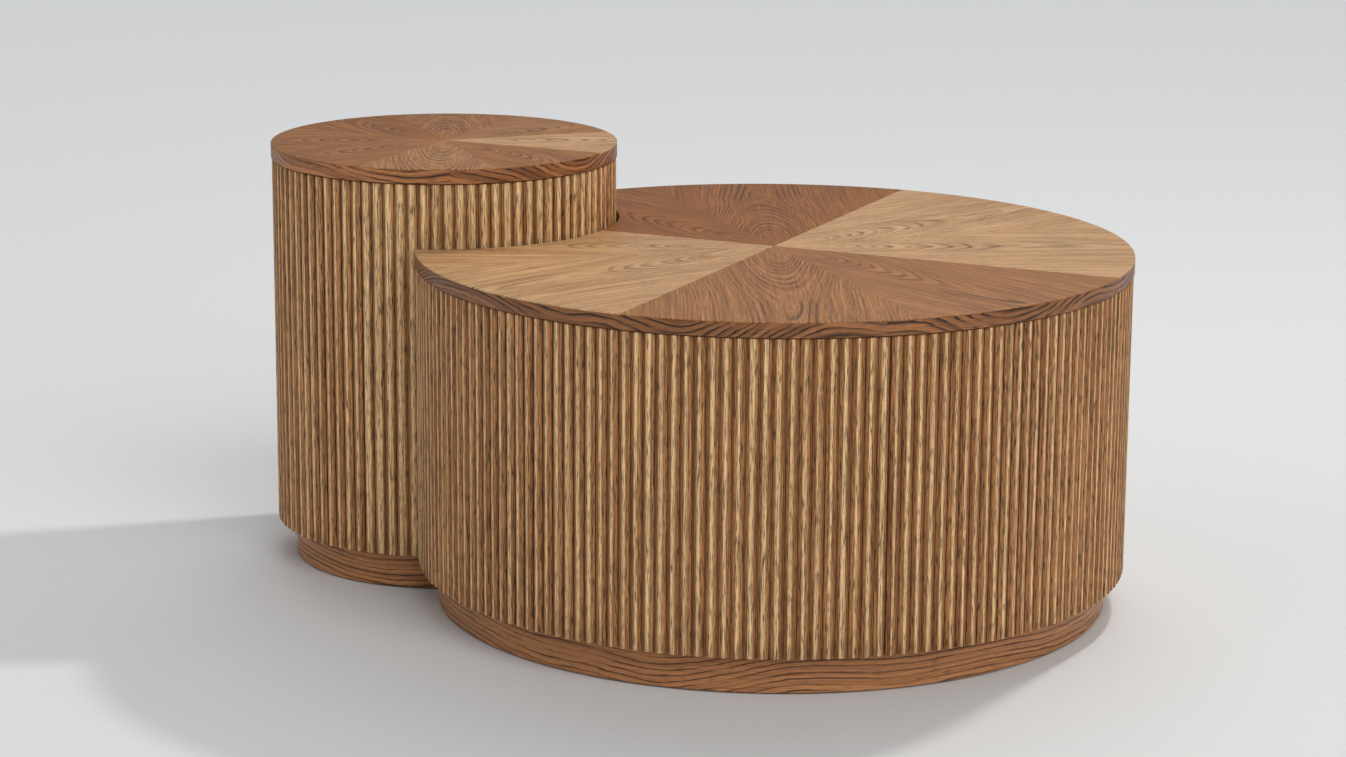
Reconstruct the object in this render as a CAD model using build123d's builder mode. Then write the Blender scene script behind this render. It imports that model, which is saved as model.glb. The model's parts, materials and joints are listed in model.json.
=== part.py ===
"""Pair of nesting drum tables with fluted sides and sunburst-veneered tops.

The low, wide table has a round bite in its plan, and the tall, narrow table stands in that bite.
Lengths are millimetres. X runs along the line between the two table axes, with the small table at -X,
and Z is up from the floor. The origin is on the floor, in the middle of the nested pair's box.
"""
import os
from dataclasses import dataclass
from math import acos, asin, cos, degrees, radians, sin

from build123d import *

os.makedirs("parts", exist_ok=True)

# Driving dimensions
LARGE_DIAMETER = 914.4
LARGE_HEIGHT = 457.2
SMALL_DIAMETER = 457.2
SMALL_HEIGHT = 558.8
AXIS_DISTANCE = 475.0
NEST_GAP = 3.0

# Tops
SLAB_THICKNESS = 19.05
VENEER_THICKNESS = 1.5
LIPPING_THICKNESS = 6.0
ARRIS_RADIUS = 1.0
LEAF_COUNT = 8

# Drum walls, from the outside inwards
BODY_INSET = 1.0
REED_DEPTH = 5.0
REED_LAND = 1.0
PANEL_BACK = 2.5
SHELL_THICKNESS = 9.0
REVEAL = 1.5
BEAD_RADIUS = 9.0

# Fluting: number of panels and rounds in each
SMALL_PANELS = 4
SMALL_PANEL_REEDS = 23
LARGE_PANELS = 3
LARGE_PANEL_REEDS = 51
BITE_PANELS = 2
BITE_PANEL_REEDS = 18
PANEL_CLEARANCE = 0.1

# Inside
DECK_THICKNESS = 18.0
RIB_THICKNESS = 15.0
RIB_CLEARANCE = 0.5
LARGE_RIB_OFFSET = 180.0
SMALL_RIB_OFFSET = 115.0

# Base
PLINTH_HEIGHT = 50.8
PLINTH_RECESS = 25.4
PLINTH_THICKNESS = 12.0
BLOCK_WIDTH = 40.0
BLOCK_OVERCUT = 2.0
GLIDE_THICKNESS = 2.0
GLIDE_RADIUS = 12.0

# Wood screws
SCREW_RADIUS = 2.2
SCREW_HEAD_RADIUS = 4.5
SCREW_HEAD_HEIGHT = 3.0
SCREW_LENGTH = 30.0

# Depths measured inwards from the edge of a top
SHELL_OUTSIDE = BODY_INSET + REED_DEPTH + PANEL_BACK
SHELL_INSIDE = SHELL_OUTSIDE + SHELL_THICKNESS
PLINTH_INSIDE = PLINTH_RECESS + PLINTH_THICKNESS


@dataclass
class Table:
    """One drum table: its own axis is the origin of every plan drawn for it."""

    name: str
    radius: float
    height: float
    axis_x: float
    bite_radius: float
    rib_offset: float

    def level(self, z):
        """Horizontal plane at height z, centred on the table's axis."""
        return Plane((self.axis_x, 0, z))

    @property
    def slab_bottom(self):
        return self.height - SLAB_THICKNESS


nested_length = LARGE_DIAMETER / 2 + AXIS_DISTANCE + SMALL_DIAMETER / 2
large_x = nested_length / 2 - LARGE_DIAMETER / 2
small_x = large_x - AXIS_DISTANCE

large = Table("large", LARGE_DIAMETER / 2, LARGE_HEIGHT, large_x,
              SMALL_DIAMETER / 2 + NEST_GAP, LARGE_RIB_OFFSET)
small = Table("small", SMALL_DIAMETER / 2, SMALL_HEIGHT, small_x, 0.0, SMALL_RIB_OFFSET)


def polar(radius, angle):
    """Point at a radius and an angle in degrees."""
    return (radius * cos(radians(angle)), radius * sin(radians(angle)))


def plan(table, inset):
    """Outline of the table's top, shrunk by an inset all round, the bite included."""
    with BuildSketch(Plane.XY) as outline:
        Circle(table.radius - inset)
        if table.bite_radius:
            with Locations((-AXIS_DISTANCE, 0)):
                Circle(table.bite_radius + inset, mode=Mode.SUBTRACT)
    return outline.sketch


def disc(radius):
    """Plain round outline about the table's axis."""
    with BuildSketch(Plane.XY) as outline:
        Circle(radius)
    return outline.sketch


def sector(start_angle, end_angle, reach):
    """Wedge from the table's axis that reaches past its rim, for cutting a piece out of a plan."""
    middle = (start_angle + end_angle) / 2
    with BuildSketch(Plane.XY) as wedge:
        Polygon((0, 0), polar(reach, start_angle), polar(reach, middle), polar(reach, end_angle), align=None)
    return wedge.sketch


def save(piece, label):
    """Name a finished piece and write it to its own file."""
    piece.part.label = label
    export_step(piece.part, f"parts/{label}.step")


# ---------------------------------------------------------------- tops

def veneer_leaf(table, number):
    """One thick leaf of the sunburst, with the arris eased along the edge of the top."""
    leaf_angle = 360 / LEAF_COUNT
    start_angle = number * leaf_angle
    with BuildPart() as leaf:
        with BuildSketch(table.level(table.height - VENEER_THICKNESS)):
            add(plan(table, 0))
            add(sector(start_angle, start_angle + leaf_angle, 2 * table.radius), mode=Mode.INTERSECT)
        extrude(amount=VENEER_THICKNESS)
        fillet(leaf.edges().filter_by(GeomType.CIRCLE).group_by(Axis.Z)[-1], ARRIS_RADIUS)
    save(leaf, f"{table.name}_veneer_leaf_{number + 1}")


def top_core(table, screws):
    """Board under the veneer, inside the lipping, with pilot holes for the screws from below."""
    with BuildPart() as core:
        with BuildSketch(table.level(table.slab_bottom)):
            add(plan(table, LIPPING_THICKNESS))
        extrude(amount=SLAB_THICKNESS - VENEER_THICKNESS)
        add(screws.part, mode=Mode.SUBTRACT)
    save(core, f"{table.name}_top_core")


def rim_lipping(table):
    """Solid wood strip round the rim, under the edge of the veneer."""
    with BuildPart() as lipping:
        with BuildSketch(table.level(table.slab_bottom)):
            add(plan(table, 0))
            add(disc(table.radius - LIPPING_THICKNESS), mode=Mode.SUBTRACT)
        extrude(amount=SLAB_THICKNESS - VENEER_THICKNESS)
        rim_edges = lipping.edges().filter_by(GeomType.CIRCLE).group_by(Axis.Z)[0]
        fillet(rim_edges.sort_by(SortBy.RADIUS)[-1], ARRIS_RADIUS)
    save(lipping, f"{table.name}_rim_lipping")


def bite_lipping(table):
    """Solid wood strip round the bite in the large top."""
    with BuildPart() as lipping:
        with BuildSketch(table.level(table.slab_bottom)):
            add(disc(table.radius - LIPPING_THICKNESS))
            with Locations((-AXIS_DISTANCE, 0)):
                Circle(table.bite_radius, mode=Mode.SUBTRACT)
            add(plan(table, LIPPING_THICKNESS), mode=Mode.SUBTRACT)
        extrude(amount=SLAB_THICKNESS - VENEER_THICKNESS)
    save(lipping, f"{table.name}_bite_lipping")


# ---------------------------------------------------------------- fluted walls

def fluted_outline(tip_radius, inward, start_angle, reed_angle, reed_count):
    """Plan of one fluted panel: rounds side by side on a thin curved back.

    The rounds face away from the centre, or towards it where inward is true.
    """
    side = 1 if inward else -1
    groove_radius = tip_radius + side * REED_DEPTH
    back_radius = groove_radius + side * PANEL_BACK
    end_angle = start_angle + reed_count * reed_angle
    land_angle = degrees(REED_LAND / groove_radius)
    with BuildSketch(Plane.XY) as outline:
        with BuildLine():
            for reed in range(reed_count):
                reed_start = start_angle + reed * reed_angle
                reed_end = reed_start + reed_angle - land_angle
                ThreePointArc(
                    polar(groove_radius, reed_start),
                    polar(tip_radius, (reed_start + reed_end) / 2),
                    polar(groove_radius, reed_end),
                )
                Line(polar(groove_radius, reed_end), polar(groove_radius, reed_start + reed_angle))
            Line(polar(groove_radius, end_angle), polar(back_radius, end_angle))
            ThreePointArc(
                polar(back_radius, end_angle),
                polar(back_radius, (start_angle + end_angle) / 2),
                polar(back_radius, start_angle),
            )
            Line(polar(back_radius, start_angle), polar(groove_radius, start_angle))
        make_face()
    return outline.sketch


def fluted_panel(table, centre_x, outline, label):
    """One fluted panel as tall as the drum, short of the top by the shadow gap."""
    with BuildPart() as panel:
        with BuildSketch(Plane((centre_x, 0, PLINTH_HEIGHT))):
            add(outline)
        extrude(amount=table.slab_bottom - REVEAL - PLINTH_HEIGHT)
    save(panel, label)


def small_fluting():
    """Four equal panels right round the small drum."""
    reed_angle = 360 / (SMALL_PANELS * SMALL_PANEL_REEDS)
    for number in range(SMALL_PANELS):
        start_angle = number * SMALL_PANEL_REEDS * reed_angle
        outline = fluted_outline(small.radius - BODY_INSET, False, start_angle, reed_angle, SMALL_PANEL_REEDS)
        fluted_panel(small, small.axis_x, outline, f"small_fluted_panel_{number + 1}")


def bead_angle(near_radius, far_radius):
    """Angle at one table's axis between the line of the two axes and a corner bead's centre."""
    cosine = near_radius**2 + AXIS_DISTANCE**2 - far_radius**2
    return degrees(acos(cosine / (2 * near_radius * AXIS_DISTANCE)))


bead_rim_radius = large.radius - BODY_INSET - BEAD_RADIUS
bead_bite_radius = large.bite_radius + BODY_INSET + BEAD_RADIUS
bead_rim_angle = 180 - bead_angle(bead_rim_radius, bead_bite_radius)
bead_bite_angle = bead_angle(bead_bite_radius, bead_rim_radius)


def panel_limit(centre_angle, centre_radius):
    """Angle at which a row of panels stops short of a corner bead."""
    return centre_angle - degrees(asin((BEAD_RADIUS + PANEL_CLEARANCE) / centre_radius))


def large_fluting():
    """Three panels round the rim and two in the bite, between the corner beads."""
    rim_limit = panel_limit(bead_rim_angle, bead_rim_radius)
    reed_angle = 2 * rim_limit / (LARGE_PANELS * LARGE_PANEL_REEDS)
    for number in range(LARGE_PANELS):
        start_angle = -rim_limit + number * LARGE_PANEL_REEDS * reed_angle
        outline = fluted_outline(large.radius - BODY_INSET, False, start_angle, reed_angle, LARGE_PANEL_REEDS)
        fluted_panel(large, large.axis_x, outline, f"large_fluted_panel_{number + 1}")

    bite_limit = panel_limit(bead_bite_angle, bead_bite_radius)
    reed_angle = 2 * bite_limit / (BITE_PANELS * BITE_PANEL_REEDS)
    for number in range(BITE_PANELS):
        start_angle = -bite_limit + number * BITE_PANEL_REEDS * reed_angle
        outline = fluted_outline(large.bite_radius + BODY_INSET, True, start_angle, reed_angle, BITE_PANEL_REEDS)
        fluted_panel(large, small.axis_x, outline, f"large_bite_panel_{number + 1}")


def corner_beads():
    """Round posts at the two corners of the bite, where the fluted rows end."""
    for side, angle in (("back", bead_rim_angle), ("front", -bead_rim_angle)):
        with BuildPart() as bead:
            with BuildSketch(large.level(PLINTH_HEIGHT)):
                with Locations(polar(bead_rim_radius, angle)):
                    Circle(BEAD_RADIUS)
            extrude(amount=large.slab_bottom - PLINTH_HEIGHT)
        save(bead, f"large_corner_bead_{side}")


# ---------------------------------------------------------------- structure inside

def cut_bead_seats():
    """Cut the coves that seat the corner beads, in the sketch being drawn."""
    with Locations(polar(bead_rim_radius, bead_rim_angle), polar(bead_rim_radius, -bead_rim_angle)):
        Circle(BEAD_RADIUS, mode=Mode.SUBTRACT)


def small_shell():
    """Bent plywood drum that carries the small table's fluted panels."""
    with BuildPart() as shell:
        with BuildSketch(small.level(PLINTH_HEIGHT)):
            add(plan(small, SHELL_OUTSIDE))
            add(plan(small, SHELL_INSIDE), mode=Mode.SUBTRACT)
        extrude(amount=small.slab_bottom - PLINTH_HEIGHT)
    save(shell, "small_shell")


def large_shells():
    """Bent plywood round the rim, in three lengths, and round the bite, in one."""
    length_angle = 360 / LARGE_PANELS
    for number in range(LARGE_PANELS):
        start_angle = -180 + number * length_angle
        with BuildPart() as shell:
            with BuildSketch(large.level(PLINTH_HEIGHT)):
                add(plan(large, SHELL_OUTSIDE))
                add(disc(large.radius - SHELL_INSIDE), mode=Mode.SUBTRACT)
                cut_bead_seats()
                add(sector(start_angle, start_angle + length_angle, 3 * large.radius), mode=Mode.INTERSECT)
            extrude(amount=large.slab_bottom - PLINTH_HEIGHT)
        save(shell, f"large_rim_shell_{number + 1}")

    with BuildPart() as shell:
        with BuildSketch(large.level(PLINTH_HEIGHT)):
            add(disc(large.radius - SHELL_INSIDE))
            with Locations((-AXIS_DISTANCE, 0)):
                Circle(large.bite_radius + SHELL_OUTSIDE, mode=Mode.SUBTRACT)
            add(plan(large, SHELL_INSIDE), mode=Mode.SUBTRACT)
            cut_bead_seats()
        extrude(amount=large.slab_bottom - PLINTH_HEIGHT)
    save(shell, "large_bite_shell")


def deck(table, bottom, screw_sets, label):
    """Plywood panel that fills the drum's plan, drilled for the screws that pass through it."""
    with BuildPart() as panel:
        with BuildSketch(table.level(bottom)):
            add(plan(table, SHELL_INSIDE))
            if table.bite_radius:
                cut_bead_seats()
        extrude(amount=DECK_THICKNESS)
        for screws in screw_sets:
            add(screws.part, mode=Mode.SUBTRACT)
    save(panel, label)


def ribs(table, screws):
    """Two upright ribs between the decks, one each side of the table's axis."""
    lower_end = PLINTH_HEIGHT + DECK_THICKNESS
    upper_end = table.slab_bottom - DECK_THICKNESS
    for side, offset in (("back", table.rib_offset), ("front", -table.rib_offset)):
        with BuildPart() as rib:
            with BuildSketch(table.level(lower_end)):
                with Locations((0, offset)):
                    Rectangle(2 * table.radius, RIB_THICKNESS)
                add(plan(table, SHELL_INSIDE + RIB_CLEARANCE), mode=Mode.INTERSECT)
            extrude(amount=upper_end - lower_end)
            add(screws.part, mode=Mode.SUBTRACT)
        save(rib, f"{table.name}_rib_{side}")


# ---------------------------------------------------------------- base

def plinth_rim(table):
    """Recessed band that the drum stands on, following the rim."""
    with BuildPart() as band:
        with BuildSketch(table.level(GLIDE_THICKNESS)):
            add(plan(table, PLINTH_RECESS))
            add(disc(table.radius - PLINTH_INSIDE), mode=Mode.SUBTRACT)
        extrude(amount=PLINTH_HEIGHT - GLIDE_THICKNESS)
    save(band, f"{table.name}_plinth_rim")


def plinth_bite(table):
    """Recessed band that follows the bite."""
    with BuildPart() as band:
        with BuildSketch(table.level(GLIDE_THICKNESS)):
            add(disc(table.radius - PLINTH_INSIDE))
            with Locations((-AXIS_DISTANCE, 0)):
                Circle(table.bite_radius + PLINTH_RECESS, mode=Mode.SUBTRACT)
            add(plan(table, PLINTH_INSIDE), mode=Mode.SUBTRACT)
        extrude(amount=PLINTH_HEIGHT - GLIDE_THICKNESS)
    save(band, f"{table.name}_plinth_bite")


def block_points(table):
    """Centres of the blocks inside the plinth, one over each glide."""
    rim_reach = table.radius - PLINTH_INSIDE - BLOCK_WIDTH / 2 + BLOCK_OVERCUT
    if not table.bite_radius:
        return [polar(rim_reach, angle) for angle in (0, 90, 180, 270)]
    bite_reach = table.bite_radius + PLINTH_INSIDE + BLOCK_WIDTH / 2 - BLOCK_OVERCUT
    return [polar(rim_reach, angle) for angle in (0, 60, -60, 120, -120)] + [(bite_reach - AXIS_DISTANCE, 0)]


def plinth_blocks(table, screws):
    """Blocks glued inside the plinth, shaped to its inner face, that take the plinth screws."""
    with BuildPart() as blocks:
        with BuildSketch(table.level(GLIDE_THICKNESS)):
            with Locations(*block_points(table)):
                Rectangle(BLOCK_WIDTH, BLOCK_WIDTH)
            add(plan(table, PLINTH_INSIDE), mode=Mode.INTERSECT)
        extrude(amount=PLINTH_HEIGHT - GLIDE_THICKNESS)
        add(screws.part, mode=Mode.SUBTRACT)
    save(blocks, f"{table.name}_plinth_blocks")


def glides(table):
    """Felt discs under the blocks, that the table stands on."""
    with BuildPart() as pads:
        with BuildSketch(table.level(0)):
            with Locations(*block_points(table)):
                Circle(GLIDE_RADIUS)
        extrude(amount=GLIDE_THICKNESS)
    save(pads, f"{table.name}_glides")


# ---------------------------------------------------------------- screws

def screw_group(plane, points, label):
    """Countersunk screws with their heads on a plane, driven along its normal."""
    upright = (Align.CENTER, Align.CENTER, Align.MIN)
    with BuildPart(plane) as screws:
        with Locations(*points):
            Cylinder(SCREW_RADIUS, SCREW_LENGTH, align=upright)
            Cone(SCREW_HEAD_RADIUS, SCREW_RADIUS, SCREW_HEAD_HEIGHT, align=upright)
    save(screws, label)
    return screws


def top_screws(table):
    """Screws up through the upper deck into the top, all between the two ribs."""
    across = table.rib_offset * 0.6
    along = table.radius * 0.6
    points = [(along, across), (along, -across), (-along * 0.5, across), (-along * 0.5, -across)]
    return screw_group(table.level(table.slab_bottom - DECK_THICKNESS), points, f"{table.name}_top_screws")


def base_screws(table):
    """Screws up through the lower deck into the feet of the ribs."""
    reach = table.radius * 0.4
    points = [(x, y) for x in (reach, -reach) for y in (table.rib_offset, -table.rib_offset)]
    return screw_group(table.level(PLINTH_HEIGHT), points, f"{table.name}_base_screws")


def plinth_screws(table):
    """Screws down through the lower deck into the plinth blocks."""
    downward = Plane(
        origin=(table.axis_x, 0, PLINTH_HEIGHT + DECK_THICKNESS),
        x_dir=(1, 0, 0),
        z_dir=(0, 0, -1),
    )
    return screw_group(downward, block_points(table), f"{table.name}_plinth_screws")


# ---------------------------------------------------------------- build

for table in (large, small):
    from_below = top_screws(table)
    into_ribs = base_screws(table)
    into_blocks = plinth_screws(table)
    for leaf_number in range(LEAF_COUNT):
        veneer_leaf(table, leaf_number)
    top_core(table, from_below)
    rim_lipping(table)
    deck(table, table.slab_bottom - DECK_THICKNESS, [from_below], f"{table.name}_upper_deck")
    deck(table, PLINTH_HEIGHT, [into_ribs, into_blocks], f"{table.name}_lower_deck")
    ribs(table, into_ribs)
    plinth_rim(table)
    plinth_blocks(table, into_blocks)
    glides(table)

small_shell()
small_fluting()

bite_lipping(large)
large_shells()
large_fluting()
corner_beads()
plinth_bite(large)
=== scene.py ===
"""Looks of the nesting drum tables: veneered tops, fluted walls, bands and plinths, in a pale studio.

All sizes are in metres, in the frame's axes. Each table's plan is drawn about its own axis, which stands
on the X axis, and the small table stands in a bite cut from the -X side of the large one.
"""

import json
import math
import random
from dataclasses import dataclass

import bmesh
import bpy
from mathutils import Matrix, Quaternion, Vector


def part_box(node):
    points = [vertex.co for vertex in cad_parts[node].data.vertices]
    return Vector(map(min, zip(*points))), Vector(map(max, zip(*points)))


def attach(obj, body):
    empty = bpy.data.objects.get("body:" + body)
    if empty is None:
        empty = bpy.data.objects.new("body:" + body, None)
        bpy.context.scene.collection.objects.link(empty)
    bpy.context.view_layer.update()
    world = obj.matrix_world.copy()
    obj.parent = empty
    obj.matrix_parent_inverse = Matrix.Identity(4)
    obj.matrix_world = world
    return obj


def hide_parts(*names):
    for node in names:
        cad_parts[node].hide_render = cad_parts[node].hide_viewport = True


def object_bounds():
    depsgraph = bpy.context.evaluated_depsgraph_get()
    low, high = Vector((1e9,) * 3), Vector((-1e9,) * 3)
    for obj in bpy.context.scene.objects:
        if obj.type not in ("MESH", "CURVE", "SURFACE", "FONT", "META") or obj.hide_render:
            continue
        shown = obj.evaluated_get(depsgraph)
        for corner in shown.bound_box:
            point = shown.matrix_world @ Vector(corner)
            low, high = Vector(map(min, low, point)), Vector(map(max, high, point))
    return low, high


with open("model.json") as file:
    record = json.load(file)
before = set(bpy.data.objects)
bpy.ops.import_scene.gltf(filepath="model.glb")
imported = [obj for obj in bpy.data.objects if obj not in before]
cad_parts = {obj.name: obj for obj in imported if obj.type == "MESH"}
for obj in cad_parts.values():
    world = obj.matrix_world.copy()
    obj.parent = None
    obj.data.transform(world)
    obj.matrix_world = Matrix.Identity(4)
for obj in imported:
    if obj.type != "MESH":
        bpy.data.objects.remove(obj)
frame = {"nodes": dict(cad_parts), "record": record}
cad_low, cad_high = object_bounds()

# ---------------------------------------------------------------- sizes

LARGE_RADIUS = 0.4572
SMALL_RADIUS = 0.2286
AXIS_DISTANCE = 0.475
BITE_RADIUS = SMALL_RADIUS + 0.003

SLAB_THICKNESS = 0.01905
VENEER_THICKNESS = 0.0015
LIPPING_THICKNESS = 0.006
ARRIS_RADIUS = 0.001
LEAF_COUNT = 8
LEAF_ANGLE = 2 * math.pi / LEAF_COUNT
GRAIN_LEAN = math.radians(3)

BODY_INSET = 0.001
REED_DEPTH = 0.005
REED_LAND = 0.001
PANEL_BACK = 0.0025
REVEAL = 0.0015
BEAD_RADIUS = 0.009
PANEL_CLEARANCE = 0.0001
END_EASING = 0.0006

# No two rounds are alike: each may be shallower, wander sideways as a wave whose phase turns by so many
# radians per metre up, and be fresher than its panel.
REED_SHORTFALL = 0.00025
REED_WANDER = 0.00012
WANDER_TURN = 9.0
FRESHNESS_SPREAD = 0.3

PLINTH_HEIGHT = 0.0508
PLINTH_RECESS = 0.0254
PLINTH_THICKNESS = 0.012
PLINTH_BOTTOM = 0.002

LIPPING_EASING = 0.0003
PLINTH_EASING = 0.0008

# How finely curves are cut into flat faces.
ARC_STEP = math.radians(1.0)
BAND_STEP = math.radians(0.75)
BEAD_STEP = math.radians(10)
CORNER_STEPS = 4
REED_STEPS = 14
WALL_ROWS = 10
WELD_DISTANCE = 2e-6

# Steps that set one piece's grain apart from the next one's.
LEAF_SEED_STEP = 0.004
STRIP_SEED_STEP = 0.37
REED_GRAIN_SHIFT = 0.02


@dataclass
class Table:
    """One drum table.

    The bite is the radius of the hollow cut out for the other table, or 0. Each veneer leaf has a painted
    sheen tone from 0, dark, to 1, light, which stands in for how its grain catches the light, and each
    fluted panel a freshness from 0, worn pale, to 1, brown.
    """

    name: str
    axis_x: float
    radius: float
    bite: float
    leaf_tones: tuple
    panel_freshness: tuple
    seed: int

    @property
    def body(self):
        return f"{self.name}_table"

    @property
    def top(self):
        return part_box(f"{self.name}_veneer_leaf_1")[1].z

    @property
    def slab_bottom(self):
        return self.top - SLAB_THICKNESS


large_axis = cad_high.x - LARGE_RADIUS
large = Table(
    "large", large_axis, LARGE_RADIUS, BITE_RADIUS,
    leaf_tones=(1, 1, 0, 0, 0.92, 0.92, 0.2, 0.2),
    panel_freshness=(0.70, 0.78, 0.70), seed=3)
small = Table(
    "small", large_axis - AXIS_DISTANCE, SMALL_RADIUS, 0,
    leaf_tones=(0.9, 0.22, 0.12, 0, 0.12, 0.12, 0.3, 0.12),
    panel_freshness=(0.75, 0.75, 0.75, 0.3), seed=11)


# ---------------------------------------------------------------- mesh building

def arc_angles(start, end, step=ARC_STEP):
    """Evenly spaced angles from start to end, no further apart than the step."""
    count = max(2, math.ceil(abs(end - start) / step))
    return [start + (end - start) * i / count for i in range(count + 1)]


class Skin:
    """Collects patches of points into one mesh.

    Every point carries grain coordinates, which are metres along and across the grain, and piece
    coordinates. The first of these is a leaf's painted sheen tone or a place across a round. The second
    tells pieces apart, and on the fluting it is the round's freshness.
    """

    def __init__(self):
        self.points = []
        self.faces = []
        self.grain = []
        self.piece = []

    def add(self, point, grain, piece):
        self.points.append(point)
        self.grain.append(grain)
        self.piece.append(piece)
        return len(self.points) - 1

    def grid(self, rows):
        """Joins rows of (point, grain, piece), all of one length, with four-sided faces."""
        numbers = [[self.add(*corner) for corner in row] for row in rows]
        for lower, upper in zip(numbers, numbers[1:]):
            for i in range(len(lower) - 1):
                self.faces.append((lower[i], lower[i + 1], upper[i + 1], upper[i]))

    def cap(self, corners):
        """Closes a ring of (point, grain, piece) with one flat face."""
        self.faces.append(tuple(self.add(*corner) for corner in corners))

    def finish(self, name, material, body, replaced, sharp=35):
        """Makes the object, welds its patches, shades it and puts it in the frame.

        Edges that turn by more than the sharp angle, in degrees, are shaded as edges.
        """
        mesh = bpy.data.meshes.new(name)
        mesh.from_pydata(self.points, [], self.faces)
        for layer_name, values in (("grain", self.grain), ("piece", self.piece)):
            layer = mesh.uv_layers.new(name=layer_name)
            for loop in mesh.loops:
                layer.data[loop.index].uv = values[loop.vertex_index]
        shape = bmesh.new()
        shape.from_mesh(mesh)
        bmesh.ops.remove_doubles(shape, verts=shape.verts, dist=WELD_DISTANCE)
        bmesh.ops.recalc_face_normals(shape, faces=shape.faces)
        shape.to_mesh(mesh)
        shape.free()
        mesh.polygons.foreach_set("use_smooth", [True] * len(mesh.polygons))
        mesh.set_sharp_from_angle(angle=math.radians(sharp))
        mesh.materials.append(material)
        piece = bpy.data.objects.new(name, mesh)
        bpy.context.scene.collection.objects.link(piece)
        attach(piece, body)
        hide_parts(*replaced)


# ---------------------------------------------------------------- shader building

class Shader:
    """One material's node tree, built by small calls that return output sockets."""

    def __init__(self, name):
        self.material = bpy.data.materials.new(name)
        self.material.use_nodes = True
        self.nodes = self.material.node_tree.nodes
        self.links = self.material.node_tree.links
        self.surface = self.nodes["Principled BSDF"]

    def feed(self, socket, value):
        """Links a socket to an output, or sets its value."""
        if isinstance(value, bpy.types.NodeSocket):
            self.links.new(value, socket)
        else:
            socket.default_value = value

    def math(self, operation, *values):
        node = self.nodes.new("ShaderNodeMath")
        node.operation = operation
        for socket, value in zip(node.inputs, values):
            self.feed(socket, value)
        return node.outputs[0]

    def plus(self, first, second):
        return self.math("ADD", first, second)

    def times(self, first, second):
        return self.math("MULTIPLY", first, second)

    def uv(self, layer):
        """The two coordinates of a UV layer."""
        source = self.nodes.new("ShaderNodeUVMap")
        source.uv_map = layer
        split = self.nodes.new("ShaderNodeSeparateXYZ")
        self.links.new(source.outputs[0], split.inputs[0])
        return split.outputs[0], split.outputs[1]

    def vector(self, x, y, z):
        node = self.nodes.new("ShaderNodeCombineXYZ")
        for socket, value in zip(node.inputs, (x, y, z)):
            self.feed(socket, value)
        return node.outputs[0]

    def scaled(self, vector, scale):
        node = self.nodes.new("ShaderNodeMapping")
        self.feed(node.inputs["Vector"], vector)
        node.inputs["Scale"].default_value = scale
        return node.outputs[0]

    def noise(self, vector, scale, detail=2.0, roughness=0.5):
        """Noise from 0 to 1, with its own scale along each axis of the vector."""
        node = self.nodes.new("ShaderNodeTexNoise")
        self.feed(node.inputs["Vector"], self.scaled(vector, scale))
        node.inputs["Scale"].default_value = 1.0
        node.inputs["Detail"].default_value = detail
        node.inputs["Roughness"].default_value = roughness
        return node.outputs[0]

    def step(self, value, low, high, to_low=0.0, to_high=1.0):
        """Smooth change from one value to another as the input goes from low to high."""
        node = self.nodes.new("ShaderNodeMapRange")
        node.interpolation_type = "SMOOTHSTEP"
        for socket, number in zip(node.inputs, (value, low, high, to_low, to_high)):
            self.feed(socket, number)
        return node.outputs[0]

    def centred(self, value, width):
        """Turns a number from 0 to 1 into one spread by a width about 0."""
        return self.times(self.math("SUBTRACT", value, 0.5), width)

    def mix(self, factor, first, second, mode="MIX"):
        node = self.nodes.new("ShaderNodeMix")
        node.data_type = "RGBA"
        node.blend_type = mode
        self.feed(node.inputs[0], factor)
        self.feed(node.inputs[6], first)
        self.feed(node.inputs[7], second)
        return node.outputs[2]

    def shade(self, colour, amount):
        """Multiplies a colour by a grey amount."""
        return self.mix(1.0, colour, self.vector(amount, amount, amount), "MULTIPLY")

    def bump(self, height, distance):
        node = self.nodes.new("ShaderNodeBump")
        node.inputs["Strength"].default_value = 1.0
        node.inputs["Distance"].default_value = distance
        self.feed(node.inputs["Height"], height)
        self.links.new(node.outputs[0], self.surface.inputs["Normal"])

    def paint(self, base, roughness):
        """Gives the surface its colour and its roughness."""
        self.feed(self.surface.inputs["Base Color"], base)
        self.feed(self.surface.inputs["Roughness"], roughness)

    def polish(self, gloss, coat=0.0, coat_roughness=0.03):
        """Sets how much the surface and its clear coat reflect."""
        self.surface.inputs["Specular IOR Level"].default_value = gloss
        self.surface.inputs["Coat Weight"].default_value = coat
        self.surface.inputs["Coat Roughness"].default_value = coat_roughness


def colour(red, green, blue):
    """Colour socket value from sRGB numbers out of 255."""
    def linear(value):
        value /= 255
        return value / 12.92 if value <= 0.04045 else ((value + 0.055) / 1.055) ** 2.4
    return (linear(red), linear(green), linear(blue), 1.0)


def growth_rings(shader, distance, spacing, early):
    """Late-wood lines from 0 to 1 across a distance field, one per ring, sharp on the outer side.

    The early wood is the part of each ring that comes before its line.
    """
    line_full = 0.88
    line_ends = 0.92
    saw = shader.math("FRACT", shader.math("DIVIDE", distance, spacing))
    rise = shader.step(saw, early, line_full)
    fall = shader.step(saw, line_ends, 1.0, 1.0, 0.0)
    return shader.times(rise, fall)


def pores(shader, place, along, across, threshold):
    """Short open pores, from 0 to 1, with a scale of noise along the grain and one across it."""
    edge_width = 0.09
    grains = shader.noise(place, (along, across, 40.0), detail=1.0)
    return shader.step(grains, threshold, threshold + edge_width)


# ---------------------------------------------------------------- materials

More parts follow.
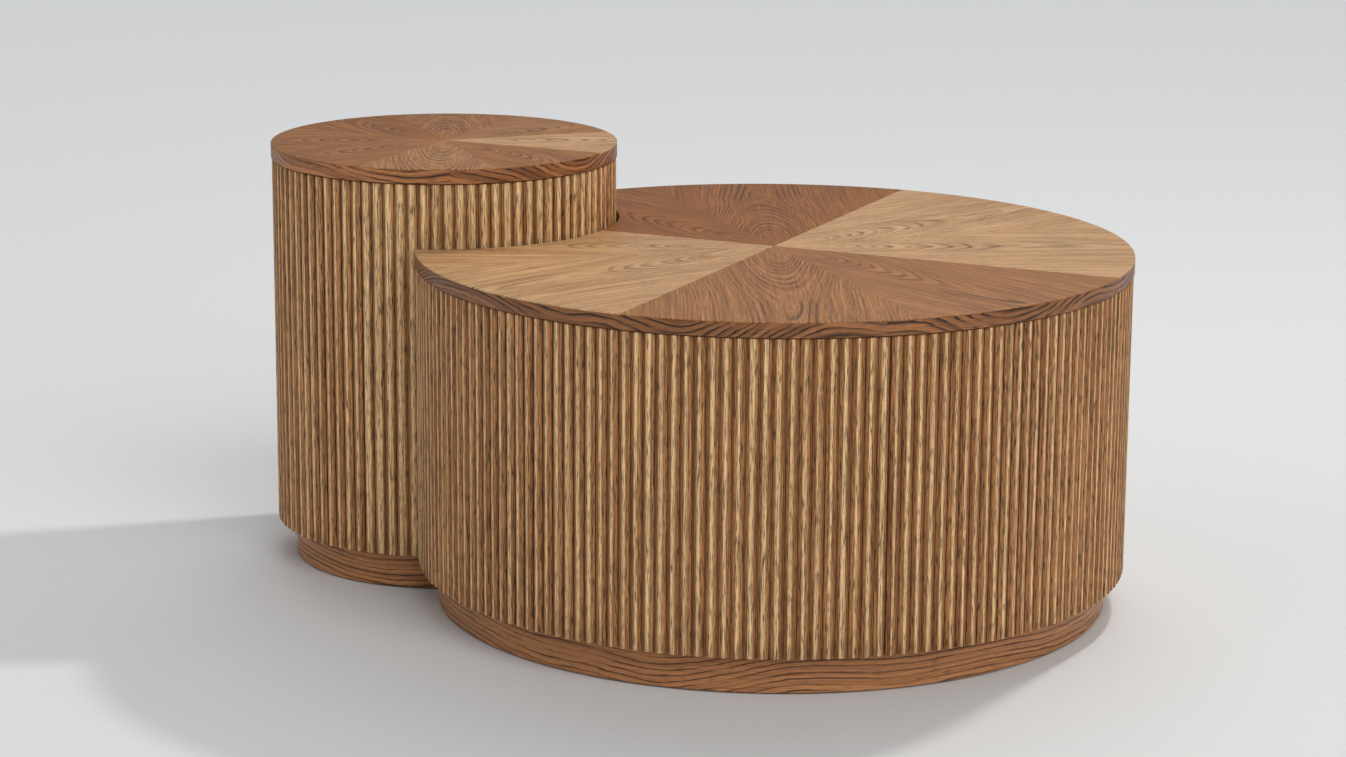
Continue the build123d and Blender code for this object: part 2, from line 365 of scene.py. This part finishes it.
def veneer_material():
    """Flat-cut veneer: a cathedral of growth rings down each leaf, fine fibres and short pores."""
    shader = Shader("sunburst_veneer")
    along, across = shader.uv("grain")
    sheen_tone, seed = shader.uv("piece")
    place = shader.vector(along, across, shader.times(seed, 9.0))

    # The cut climbs away from the log's heart along the leaf, so the rings show as nested arches.
    sway = shader.centred(shader.noise(place, (4.0, 12.0, 1.0), detail=2.0), 0.018)
    ripple = shader.centred(shader.noise(place, (30.0, 150.0, 1.0), detail=3.0), 0.0016)
    bent = shader.plus(across, shader.plus(sway, ripple))
    climb = shader.times(shader.math("SMOOTH_MIN", along, 0.31, 0.12), 0.19)
    depth = shader.plus(climb, sway)
    radius = shader.math("SQRT", shader.plus(shader.times(bent, bent), shader.times(depth, depth)))

    # Bands and lines fade towards the leaf's tip, where the rings are too close to be told apart.
    plain_tip = shader.step(along, 0.02, 0.11, 0.20, 1.0)
    seasons_place = shader.vector(radius, shader.times(along, 0.01), seed)
    seasons = shader.noise(seasons_place, (380.0, 380.0, 50.0), detail=4.0, roughness=0.70)
    strong_bands = shader.centred(shader.step(seasons, 0.30, 0.70), 1.0)
    bands = shader.plus(shader.times(strong_bands, plain_tip), 0.5)
    heart = shader.step(shader.math("ABSOLUTE", bent), 0.020, 0.090, 1.0, 0.35)
    fade = shader.step(shader.noise(place, (9.0, 40.0, 3.0), detail=2.0), 0.30, 0.62)
    shown = shader.times(shader.times(heart, fade), plain_tip)
    lines = shader.times(growth_rings(shader, radius, spacing=0.0044, early=0.50), shown)
    fibres = shader.noise(place, (22.0, 650.0, 5.0), detail=3.0, roughness=0.6)
    streaks = shader.noise(place, (5.0, 400.0, 7.0), detail=3.0, roughness=0.6)
    open_pores = pores(shader, place, along=60.0, across=900.0, threshold=0.60)

    # Light and dark leaves are one wood with a painted sheen: lighter where the grain seems to catch the
    # light.
    bright_sheen_leaf = shader.mix(bands, colour(194, 145, 97), colour(230, 186, 137))
    dull_sheen_leaf = shader.mix(bands, colour(138, 81, 31), colour(178, 113, 53))
    pore_brown = colour(92, 56, 28)
    base = shader.mix(sheen_tone, dull_sheen_leaf, bright_sheen_leaf)
    base = shader.mix(lines, base, shader.shade(base, 0.34))
    base = shader.shade(base, shader.step(streaks, 0.30, 0.70, 0.80, 1.14))
    base = shader.shade(base, shader.step(fibres, 0.30, 0.70, 0.80, 1.15))
    base = shader.mix(shader.times(open_pores, 0.5), base, pore_brown)
    shader.paint(base, roughness=shader.step(fibres, 0.2, 0.8, 0.40, 0.50))
    shader.bump(shader.math("SUBTRACT", shader.times(fibres, 0.3), open_pores), distance=0.00006)
    shader.polish(gloss=0.22, coat=0.05, coat_roughness=0.16)
    return shader.material


def edge_material(name, light, dark, line, slant, spacing, early):
    """Solid strip cut along the grain, whose growth rings slant across it and turn back on themselves."""
    shader = Shader(name)
    along, across = shader.uv("grain")
    _, seed = shader.uv("piece")
    place = shader.vector(along, across, shader.times(seed, 9.0))

    # The drift is a slow change along the strip, steep enough to lead each ring right across it.
    drift = shader.centred(shader.noise(place, (2.6, 2.0, 1.0), detail=1.0), slant)
    ripple = shader.centred(shader.noise(place, (26.0, 110.0, 1.0), detail=3.0), 0.005)
    field = shader.plus(across, shader.plus(drift, ripple))
    seasons_place = shader.vector(field, 0.0, seed)
    seasons = shader.noise(seasons_place, (0.7 / spacing, 1.0, 50.0), detail=3.0, roughness=0.65)
    fade = shader.step(shader.noise(place, (9.0, 70.0, 3.0), detail=2.0), 0.30, 0.58, 0.10, 1.0)
    lines = shader.times(growth_rings(shader, field, spacing, early), fade)
    fibres = shader.noise(place, (12.0, 1100.0, 5.0), detail=2.0)
    open_pores = pores(shader, place, along=55.0, across=1500.0, threshold=0.58)

    base = shader.mix(shader.step(seasons, 0.35, 0.62), dark, light)
    base = shader.mix(lines, base, line)
    base = shader.shade(base, shader.step(fibres, 0.30, 0.70, 0.85, 1.12))
    base = shader.mix(shader.times(open_pores, 0.55), base, shader.shade(line, 0.6))
    shader.paint(base, roughness=shader.step(fibres, 0.2, 0.8, 0.38, 0.50))
    shader.bump(shader.math("SUBTRACT", shader.times(fibres, 0.4), open_pores), distance=0.00008)
    shader.polish(gloss=0.30, coat=0.05, coat_roughness=0.25)
    return shader.material


def fluting_material():
    """Brushed open-pored rounds: straw crests, brown streaks, dark pores, and grooves darkened by stain
    and by painted shade.
    """
    shader = Shader("brushed_fluting")
    along, across = shader.uv("grain")
    side, freshness = shader.uv("piece")
    place = shader.vector(along, across, shader.times(freshness, 30.0))

    sway = shader.centred(shader.noise(place, (3.0, 60.0, 1.0), detail=2.0), 0.012)
    ripple = shader.centred(shader.noise(place, (20.0, 260.0, 1.0), detail=2.0), 0.0012)
    field = shader.plus(across, shader.plus(sway, ripple))
    rings = growth_rings(shader, field, spacing=0.0050, early=0.35)
    streaks_place = shader.vector(field, along, freshness)
    streaks = shader.noise(streaks_place, (420.0, 3.0, 40.0), detail=4.0, roughness=0.65)
    fibres = shader.noise(place, (16.0, 1900.0, 5.0), detail=3.0, roughness=0.6)
    open_pores = pores(shader, place, along=60.0, across=1500.0, threshold=0.55)
    checks = pores(shader, place, along=11.0, across=1100.0, threshold=0.58)

    # The crown is 0 along a round's crest and 0.5 at its grooves. Brushing has worn the crest pale.
    crown = shader.math("ABSOLUTE", shader.math("SUBTRACT", side, 0.5))
    worn_noise = shader.noise(place, (5.0, 300.0, 9.0), detail=3.0, roughness=0.6)
    worn_edge = shader.centred(worn_noise, 0.07)
    fresh = shader.plus(shader.plus(crown, worn_edge), shader.times(freshness, 0.24))
    worn = shader.step(fresh, 0.26, 0.38, 1.0, 0.0)
    # Groove darkening is partly stain and partly painted shade, standing in for the shade deep between the
    # rounds.
    groove_stain_and_shade = shader.step(crown, 0.40, 0.48)
    reddened = shader.times(shader.step(freshness, 0.45, 1.0), 0.4)

    tan = colour(214, 156, 100)
    brown = colour(154, 103, 59)
    red_brown = colour(176, 107, 57)
    straw = colour(252, 211, 154)
    honey = colour(214, 164, 106)
    ring_brown = colour(112, 72, 36)
    pore_brown = colour(54, 37, 24)
    check_brown = colour(60, 40, 25)
    groove_stain_and_shade_brown = colour(56, 36, 20)
    flank = shader.mix(shader.step(streaks, 0.38, 0.60), tan, brown)
    flank = shader.mix(reddened, flank, red_brown)
    crest = shader.mix(shader.step(streaks, 0.45, 0.72), straw, honey)
    base = shader.mix(worn, flank, crest)
    base = shader.mix(shader.times(rings, 0.26), base, ring_brown)
    base = shader.shade(base, shader.step(fibres, 0.28, 0.72, 0.78, 1.18))
    base = shader.mix(shader.times(open_pores, 0.85), base, pore_brown)
    base = shader.mix(shader.times(checks, 0.50), base, check_brown)
    # Stain and painted shade darken the grooves.
    base = shader.mix(shader.times(groove_stain_and_shade, 0.85), base, groove_stain_and_shade_brown)
    shader.paint(base, roughness=shader.step(fibres, 0.2, 0.8, 0.52, 0.66))
    shader.bump(shader.math("SUBTRACT", shader.times(fibres, 0.4), open_pores), distance=0.00030)
    shader.polish(gloss=0.35)
    return shader.material


def object_place(shader):
    """The object's own coordinates, in metres."""
    return shader.nodes.new("ShaderNodeTexCoord").outputs["Object"]


def plywood_material():
    """Birch plywood face: pale, with faint long figure."""
    shader = Shader("birch_plywood")
    place = object_place(shader)
    figure = shader.noise(place, (3.0, 60.0, 60.0), detail=3.0)
    fibres = shader.noise(place, (20.0, 900.0, 900.0), detail=2.0)
    base = shader.mix(figure, colour(214, 186, 146), colour(190, 156, 112))
    base = shader.shade(base, shader.step(fibres, 0.3, 0.7, 0.92, 1.05))
    shader.paint(base, roughness=shader.step(fibres, 0.2, 0.8, 0.6, 0.75))
    shader.bump(fibres, distance=0.00005)
    return shader.material


def felt_material():
    """Dense brown felt, matt and fuzzy."""
    shader = Shader("felt")
    fuzz = shader.noise(object_place(shader), (1400.0, 1400.0, 1400.0), detail=3.0, roughness=0.7)
    base = shader.mix(fuzz, colour(62, 52, 46), colour(98, 84, 74))
    shader.paint(base, roughness=shader.step(fuzz, 0.2, 0.8, 0.85, 1.0))
    shader.bump(fuzz, distance=0.0004)
    return shader.material


def screw_material():
    """Zinc-plated steel with fine turning marks."""
    shader = Shader("zinc_steel")
    marks = shader.noise(object_place(shader), (300.0, 300.0, 6000.0), detail=2.0)
    base = shader.mix(marks, colour(196, 190, 172), colour(160, 154, 138))
    shader.paint(base, roughness=shader.step(marks, 0.2, 0.8, 0.28, 0.45))
    shader.surface.inputs["Metallic"].default_value = 1.0
    shader.bump(marks, distance=0.00005)
    return shader.material


veneer = veneer_material()
lipping_woods = {
    "large": edge_material(
        "large_lipping_wood", light=colour(168, 110, 66), dark=colour(106, 66, 38),
        line=colour(40, 26, 17), slant=0.32, spacing=0.0068, early=0.45),
    "small": edge_material(
        "small_lipping_wood", light=colour(196, 130, 80), dark=colour(138, 88, 52),
        line=colour(58, 38, 24), slant=0.32, spacing=0.0078, early=0.52),
}
plinth_wood = edge_material(
    "plinth_wood", light=colour(200, 139, 89), dark=colour(154, 101, 63),
    line=colour(78, 49, 32), slant=0.14, spacing=0.0070, early=0.62)
fluting = fluting_material()
plywood = plywood_material()
felt = felt_material()
zinc = screw_material()


# ---------------------------------------------------------------- tops

def meeting_angle(near_radius, far_radius):
    """Angle at one axis, from the line to the other axis, to where circles about the two axes cross."""
    cosine = near_radius**2 + AXIS_DISTANCE**2 - far_radius**2
    return math.acos(cosine / (2 * near_radius * AXIS_DISTANCE))


def arc_points(centre_x, radius, start, end):
    angles = arc_angles(start, end)
    return [(centre_x + radius * math.cos(angle), radius * math.sin(angle)) for angle in angles]


def leaf_outline(table, number, inset):
    """Plan of one veneer leaf about its table's axis, with its curved edges moved in by an inset.

    The two leaves on each side of -X are cut short by the bite, and are mirror images.
    """
    start = number * LEAF_ANGLE
    radius = table.radius - inset
    first_below = LEAF_COUNT // 2
    if not table.bite or number not in (first_below - 1, first_below):
        return [(0, 0)] + arc_points(0, radius, start, start + LEAF_ANGLE)
    bite = table.bite + inset
    corner = math.pi - meeting_angle(radius, bite)
    outline = [(0, 0)] + arc_points(0, radius, math.pi - LEAF_ANGLE, corner)
    outline += arc_points(-AXIS_DISTANCE, bite, meeting_angle(bite, radius), 0)[1:]
    if number == first_below:
        return [(x, -y) for x, y in reversed(outline)]
    return outline


def leaf_grain(number, x, y):
    """Metres along and across the leaf's grain. Neighbouring leaves mirror each other."""
    mirrored = number % 2 == 1
    lean = -GRAIN_LEAN if mirrored else GRAIN_LEAN
    middle = (number + 0.5) * LEAF_ANGLE + lean
    along = x * math.cos(middle) + y * math.sin(middle)
    across = y * math.cos(middle) - x * math.sin(middle)
    return (along, -across if mirrored else across)


def veneer_leaf(table, number):
    """One leaf of the sunburst: flat, with a rounded arris along the edge of the top."""
    node = f"{table.name}_veneer_leaf_{number + 1}"
    levels = [(table.top - VENEER_THICKNESS, 0)]
    for turn in range(CORNER_STEPS + 1):
        angle = math.pi / 2 * turn / CORNER_STEPS
        drop = ARRIS_RADIUS * (1 - math.sin(angle))
        levels.append((table.top - drop, ARRIS_RADIUS * (1 - math.cos(angle))))
    # The leaf's painted sheen tone: how much its grain seems to catch the light.
    sheen_tone = table.leaf_tones[number]
    seed = table.seed / 20 + LEAF_SEED_STEP * number
    rings = []
    for z, inset in levels:
        outline = leaf_outline(table, number, inset)
        rings.append([
            ((table.axis_x + x, y, z), leaf_grain(number, x, y), (sheen_tone, seed)) for x, y in outline])
    skin = Skin()
    skin.grid([ring + ring[:1] for ring in rings])
    skin.cap(rings[0])
    skin.cap(rings[-1])
    name = node.replace("veneer_leaf", "sunburst_leaf")
    skin.finish(name, veneer, table.body, [node])


# ---------------------------------------------------------------- bands

def eased_profile(outer, inner, low, high, easing):
    """Cross-section of a band as a closed loop of (radius, height), its outer corners rounded."""
    side = 1 if outer > inner else -1
    loop = [(inner, low)]
    for centre_z, first_degrees in ((low + easing, -90), (high - easing, 0)):
        for turn in range(CORNER_STEPS + 1):
            angle = math.radians(first_degrees + 90 * turn / CORNER_STEPS)
            radius = outer - side * easing * (1 - math.cos(angle))
            loop.append((radius, centre_z + easing * math.sin(angle)))
    loop.append((inner, high))
    return loop


def band(name, axis_x, body, profile, half_angle, material, seed, lengths):
    """Sweeps a profile round an axis, as strips of wood joined end to end.

    half_angle(radius) says how far the band goes each way from +X.
    """
    across_profile = [0.0]
    for (r0, z0), (r1, z1) in zip(profile, profile[1:]):
        across_profile.append(across_profile[-1] + math.hypot(r1 - r0, z1 - z0))
    grain_radius = profile[2][0]
    reach = half_angle(profile[0][0])
    steps = math.ceil(2 * reach / lengths / BAND_STEP)
    skin = Skin()
    for strip in range(lengths):
        piece = (0.0, seed + strip * STRIP_SEED_STEP)
        columns = []
        for i in range(steps + 1):
            part = 2 * (strip + i / steps) / lengths - 1
            column = []
            for (radius, z), across in zip(profile, across_profile):
                angle = part * half_angle(radius)
                point = (axis_x + radius * math.cos(angle), radius * math.sin(angle), z)
                column.append((point, (angle * grain_radius, across), piece))
            columns.append(column)
        skin.grid([column + column[:1] for column in columns])
        if reach < math.pi and strip == 0:
            skin.cap(columns[0])
        if reach < math.pi and strip == lengths - 1:
            skin.cap(columns[-1])
    replaced = name.replace("_strip", "_lipping").replace("_band", "")
    skin.finish(name, material, body, [replaced])


def full_turn(_radius):
    return math.pi


def to_bite(bite_radius):
    """Half angle of a ring about the large table's axis that ends at the bite."""
    return lambda radius: math.pi - meeting_angle(radius, bite_radius)


def to_rim(rim_radius):
    """Half angle of a ring about the bite's axis that ends at the rim."""
    return lambda radius: meeting_angle(radius, rim_radius)


def table_bands(table):
    """Lipping under the veneer's edge, and the plinth, round the rim."""
    lipping_inside = table.radius - LIPPING_THICKNESS
    lipping_top = table.top - VENEER_THICKNESS
    lipping = eased_profile(
        table.radius, lipping_inside, table.slab_bottom, lipping_top, LIPPING_EASING)
    outside = table.radius - PLINTH_RECESS
    plinth = eased_profile(
        outside, outside - PLINTH_THICKNESS, PLINTH_BOTTOM, PLINTH_HEIGHT, PLINTH_EASING)
    lipping_end = to_bite(table.bite) if table.bite else full_turn
    plinth_end = to_bite(table.bite + PLINTH_RECESS) if table.bite else full_turn
    band(f"{table.name}_rim_strip", table.axis_x, table.body, lipping, lipping_end,
         lipping_woods[table.name], seed=table.seed / 10, lengths=3)
    band(f"{table.name}_plinth_rim_band", table.axis_x, table.body, plinth, plinth_end,
         plinth_wood, seed=table.seed / 10, lengths=2)


def bite_bands():
    """Lipping and plinth round the bite in the large table."""
    lipping_inside = BITE_RADIUS + LIPPING_THICKNESS
    lipping_top = large.top - VENEER_THICKNESS
    lipping = eased_profile(
        BITE_RADIUS, lipping_inside, large.slab_bottom, lipping_top, LIPPING_EASING)
    outside = BITE_RADIUS + PLINTH_RECESS
    plinth = eased_profile(
        outside, outside + PLINTH_THICKNESS, PLINTH_BOTTOM, PLINTH_HEIGHT, PLINTH_EASING)
    lipping_end = to_rim(LARGE_RADIUS - LIPPING_THICKNESS)
    plinth_end = to_rim(LARGE_RADIUS - PLINTH_RECESS - PLINTH_THICKNESS)
    band("large_bite_strip", small.axis_x, large.body, lipping, lipping_end,
         lipping_woods["large"], seed=0.7, lengths=2)
    band("large_plinth_bite_band", small.axis_x, large.body, plinth, plinth_end,
         plinth_wood, seed=0.8, lengths=1)


# ---------------------------------------------------------------- fluted walls

def reed_columns(pitch):
    """Points across one round: (place across, height over the groove, part of the round)."""
    half_width = (pitch - REED_LAND) / 2
    round_radius = (half_width**2 + REED_DEPTH**2) / (2 * REED_DEPTH)
    half_turn = math.asin(half_width / round_radius)
    found = []
    for turn in range(REED_STEPS + 1):
        angle = half_turn * (2 * turn / REED_STEPS - 1)
        across = half_width + round_radius * math.sin(angle)
        height = round_radius * math.cos(angle) - (round_radius - REED_DEPTH)
        found.append((across, height, turn / REED_STEPS))
    return found


def wall_levels(low, high):
    """Heights up a wall with how far the face is eased back at each."""
    straight = high - low - 2 * END_EASING
    inner = [low + END_EASING + straight * i / WALL_ROWS for i in range(WALL_ROWS + 1)]
    return [(low, END_EASING)] + [(z, 0) for z in inner] + [(high, END_EASING)]


def fluted_panel(name, table, freshness, axis_x, tip_radius, inward, start, reed_angle, reed_count):
    """One panel of upright rounds on a thin curved back. Each round wanders a little, as cut wood does."""
    chance = random.Random(name)
    side = -1 if inward else 1
    groove_radius = tip_radius - side * REED_DEPTH
    back_radius = groove_radius - side * PANEL_BACK
    levels = wall_levels(PLINTH_HEIGHT, table.slab_bottom - REVEAL)
    pitch = reed_angle * groove_radius
    columns = []
    for reed in range(reed_count):
        reed_freshness = freshness + chance.uniform(0, FRESHNESS_SPREAD)
        phase = chance.random() * 2 * math.pi
        depth_change = chance.uniform(-REED_SHORTFALL, 0)
        last_land = [(pitch, 0, 1)] if reed == reed_count - 1 else []
        for across, height, part in reed_columns(pitch) + last_land:
            angle = start + reed * reed_angle + across / groove_radius
            grain_across = across + REED_GRAIN_SHIFT * reed
            column = []
            for z, easing in levels:
                wander = REED_WANDER * math.sin(WANDER_TURN * z + phase) * height / REED_DEPTH
                lift = height * (1 + depth_change / REED_DEPTH) - easing
                radius = groove_radius + side * lift
                turned = angle + wander / groove_radius
                point = (axis_x + radius * math.cos(turned), radius * math.sin(turned), z)
                column.append((point, (z, grain_across), (part, reed_freshness)))
            for z in (levels[-1][0], levels[0][0]):
                point = (axis_x + back_radius * math.cos(angle), back_radius * math.sin(angle), z)
                column.append((point, (z, grain_across), (0.0, reed_freshness)))
            columns.append(column)
    skin = Skin()
    skin.grid([column + column[:1] for column in columns])
    skin.cap(columns[0])
    skin.cap(columns[-1])
    skin.finish(name.replace("panel", "wall"), fluting, table.body, [name], sharp=60)


def small_fluting():
    """Four panels that make a full turn."""
    panels = 4
    reeds = 23
    reed_angle = 2 * math.pi / (panels * reeds)
    for number in range(panels):
        start = number * reeds * reed_angle
        fluted_panel(f"small_fluted_panel_{number + 1}", small, small.panel_freshness[number],
                     small.axis_x, SMALL_RADIUS - BODY_INSET, False, start, reed_angle, reeds)


bead_rim_radius = LARGE_RADIUS - BODY_INSET - BEAD_RADIUS
bead_bite_radius = BITE_RADIUS + BODY_INSET + BEAD_RADIUS
bead_rim_angle = math.pi - meeting_angle(bead_rim_radius, bead_bite_radius)
bead_bite_angle = meeting_angle(bead_bite_radius, bead_rim_radius)


def large_fluting():
    """Three panels round the rim and two in the bite, each row ending at the corner beads."""
    bead_reach = BEAD_RADIUS + PANEL_CLEARANCE
    rim_limit = bead_rim_angle - math.asin(bead_reach / bead_rim_radius)
    bite_limit = bead_bite_angle - math.asin(bead_reach / bead_bite_radius)
    rim_tips = LARGE_RADIUS - BODY_INSET
    bite_tips = BITE_RADIUS + BODY_INSET
    rows = (
        ("large_fluted_panel", 3, 51, large.axis_x, rim_tips, False, rim_limit),
        ("large_bite_panel", 2, 18, small.axis_x, bite_tips, True, bite_limit),
    )
    for name, panels, reeds, axis_x, tip_radius, inward, limit in rows:
        reed_angle = 2 * limit / (panels * reeds)
        for number in range(panels):
            start = -limit + number * reeds * reed_angle
            fluted_panel(f"{name}_{number + 1}", large, large.panel_freshness[number],
                         axis_x, tip_radius, inward, start, reed_angle, reeds)


def corner_beads():
    """Round posts where the fluted rows meet, with the same grain as the rounds."""
    crest_place = 0.5
    freshness = 0.3
    for side, turn in (("back", 1), ("front", -1)):
        centre_x = large.axis_x + bead_rim_radius * math.cos(bead_rim_angle)
        centre_y = turn * bead_rim_radius * math.sin(bead_rim_angle)
        rings = []
        for z, easing in wall_levels(PLINTH_HEIGHT, large.slab_bottom):
            radius = BEAD_RADIUS - easing
            ring = []
            for angle in arc_angles(0, 2 * math.pi, BEAD_STEP):
                point = (centre_x + radius * math.cos(angle), centre_y + radius * math.sin(angle), z)
                ring.append((point, (z, BEAD_RADIUS * angle), (crest_place, freshness)))
            rings.append(ring)
        skin = Skin()
        skin.grid(rings)
        skin.cap(rings[0][:-1])
        skin.cap(rings[-1][:-1])
        replaced = [f"large_corner_bead_{side}"]
        skin.finish(f"large_corner_post_{side}", fluting, large.body, replaced)


# ---------------------------------------------------------------- CAD nodes that stay

def dress_cad_nodes():
    """Gives the hidden structure, glides and screws, which keep their CAD shape, their materials."""
    slots = {entry["node"]: entry["material_slot"] for entry in frame["record"]["subparts"]}
    finishes = {"plywood": plywood, "felt": felt, "screw_steel": zinc}
    for name, node in frame["nodes"].items():
        if not node.hide_render:
            node.data.materials.clear()
            node.data.materials.append(finishes[slots[name]])
            node.data.polygons.foreach_set("use_smooth", [True] * len(node.data.polygons))
            node.data.set_sharp_from_angle(angle=math.radians(30))


# ---------------------------------------------------------------- studio

FLOOR_REACH = 30
WARM_LIGHT = (1.0, 0.96, 0.90)
COOL_LIGHT = (0.97, 0.985, 1.0)
ROOM_COLOUR = (0.98, 0.99, 1.0, 1.0)
ROOM_LIGHT = 0.24
BACKDROP_LIGHT = 0.61
KEY_PLACE = (0.75, 1.27, 2.27)

# The camera looks from an azimuth, 0 being in front, at -Y, and turned a little off level.
VIEW_AZIMUTH = 24.5
VIEW_ELEVATION = 13.2
VIEW_DISTANCE = 4.5
VIEW_ROLL = 0.36
VIEW_AIM = (0.002, -0.042, 0.280)
LENS_LENGTH = 93.3
SENSOR_WIDTH = 36


def floor():
    """A wide pale floor."""
    mesh = bpy.data.meshes.new("floor")
    corners = [(-1, -1), (1, -1), (1, 1), (-1, 1)]
    mesh.from_pydata([(x * FLOOR_REACH, y * FLOOR_REACH, 0) for x, y in corners], [], [(0, 1, 2, 3)])
    shader = Shader("studio_floor")
    speckle = shader.noise(object_place(shader), (60.0, 60.0, 60.0), detail=2.0)
    tint = shader.mix(speckle, (0.78, 0.79, 0.795, 1), (0.80, 0.81, 0.815, 1))
    shader.paint(tint, roughness=0.8)
    mesh.materials.append(shader.material)
    ground = bpy.data.objects.new("floor", mesh)
    bpy.context.scene.collection.objects.link(ground)


def direction_to(azimuth, elevation):
    """Direction out to an azimuth, 0 being in front, at -Y, and an elevation, both in degrees."""
    a = math.radians(azimuth)
    e = math.radians(elevation)
    return Vector((math.sin(a) * math.cos(e), -math.cos(a) * math.cos(e), math.sin(e)))


def far_light(name, azimuth, elevation, spread, strength):
    """A distant soft light, whose spread in degrees sets how soft its shadows are."""
    lamp = bpy.data.lights.new(name, "SUN")
    lamp.angle = math.radians(spread)
    lamp.energy = strength
    lamp.color = COOL_LIGHT
    holder = bpy.data.objects.new(name, lamp)
    holder.rotation_mode = "QUATERNION"
    holder.rotation_quaternion = direction_to(azimuth, elevation).to_track_quat("Z", "Y")
    bpy.context.scene.collection.objects.link(holder)


def key_light():
    """A lamp behind and to the right, near enough for its shadows to spread, but as bright far off."""
    lamp = bpy.data.lights.new("key", "POINT")
    lamp.energy = 12.0
    lamp.color = WARM_LIGHT
    lamp.shadow_soft_size = 0.09
    lamp.use_nodes = True
    nodes = lamp.node_tree.nodes
    falloff = nodes.new("ShaderNodeLightFalloff")
    falloff.inputs["Strength"].default_value = 1.0
    lamp.node_tree.links.new(falloff.outputs["Constant"], nodes["Emission"].inputs["Strength"])
    holder = bpy.data.objects.new("key", lamp)
    holder.location = KEY_PLACE
    bpy.context.scene.collection.objects.link(holder)


def room():
    """Dim surroundings, which look bright to the camera alone."""
    world = bpy.data.worlds.new("studio")
    bpy.context.scene.world = world
    world.use_nodes = True
    nodes = world.node_tree.nodes
    seen = nodes.new("ShaderNodeLightPath").outputs["Is Camera Ray"]
    strength = nodes.new("ShaderNodeMapRange")
    strength.inputs["To Min"].default_value = ROOM_LIGHT
    strength.inputs["To Max"].default_value = BACKDROP_LIGHT
    world.node_tree.links.new(seen, strength.inputs["Value"])
    world.node_tree.links.new(strength.outputs[0], nodes["Background"].inputs["Strength"])
    nodes["Background"].inputs["Color"].default_value = ROOM_COLOUR


def studio():
    """A near key lamp, a broad light in front, a weak one from the left and a high one behind."""
    key_light()
    far_light("front", VIEW_AZIMUTH + 28, elevation=35, spread=48, strength=1.38)
    far_light("left_fill", VIEW_AZIMUTH - 70, elevation=20, spread=60, strength=0.38)
    far_light("overhead", VIEW_AZIMUTH + 174, elevation=56, spread=44, strength=0.66)
    room()
    bpy.context.scene.view_settings.view_transform = "Standard"


def camera():
    """A long lens a little above the tops, turned a touch off level."""
    lens = bpy.data.cameras.new("camera")
    lens.lens = LENS_LENGTH
    lens.sensor_width = SENSOR_WIDTH
    lens.clip_end = 200
    eye = bpy.data.objects.new("camera", lens)
    back = direction_to(VIEW_AZIMUTH, VIEW_ELEVATION)
    eye.location = Vector(VIEW_AIM) + back * VIEW_DISTANCE
    eye.rotation_mode = "QUATERNION"
    level = back.to_track_quat("Z", "Y")
    eye.rotation_quaternion = level @ Quaternion((0, 0, 1), math.radians(VIEW_ROLL))
    bpy.context.scene.collection.objects.link(eye)
    bpy.context.scene.camera = eye


# ---------------------------------------------------------------- build

for table in (large, small):
    for leaf in range(LEAF_COUNT):
        veneer_leaf(table, leaf)
    table_bands(table)
bite_bands()
small_fluting()
large_fluting()
corner_beads()
dress_cad_nodes()
floor()
studio()
camera()
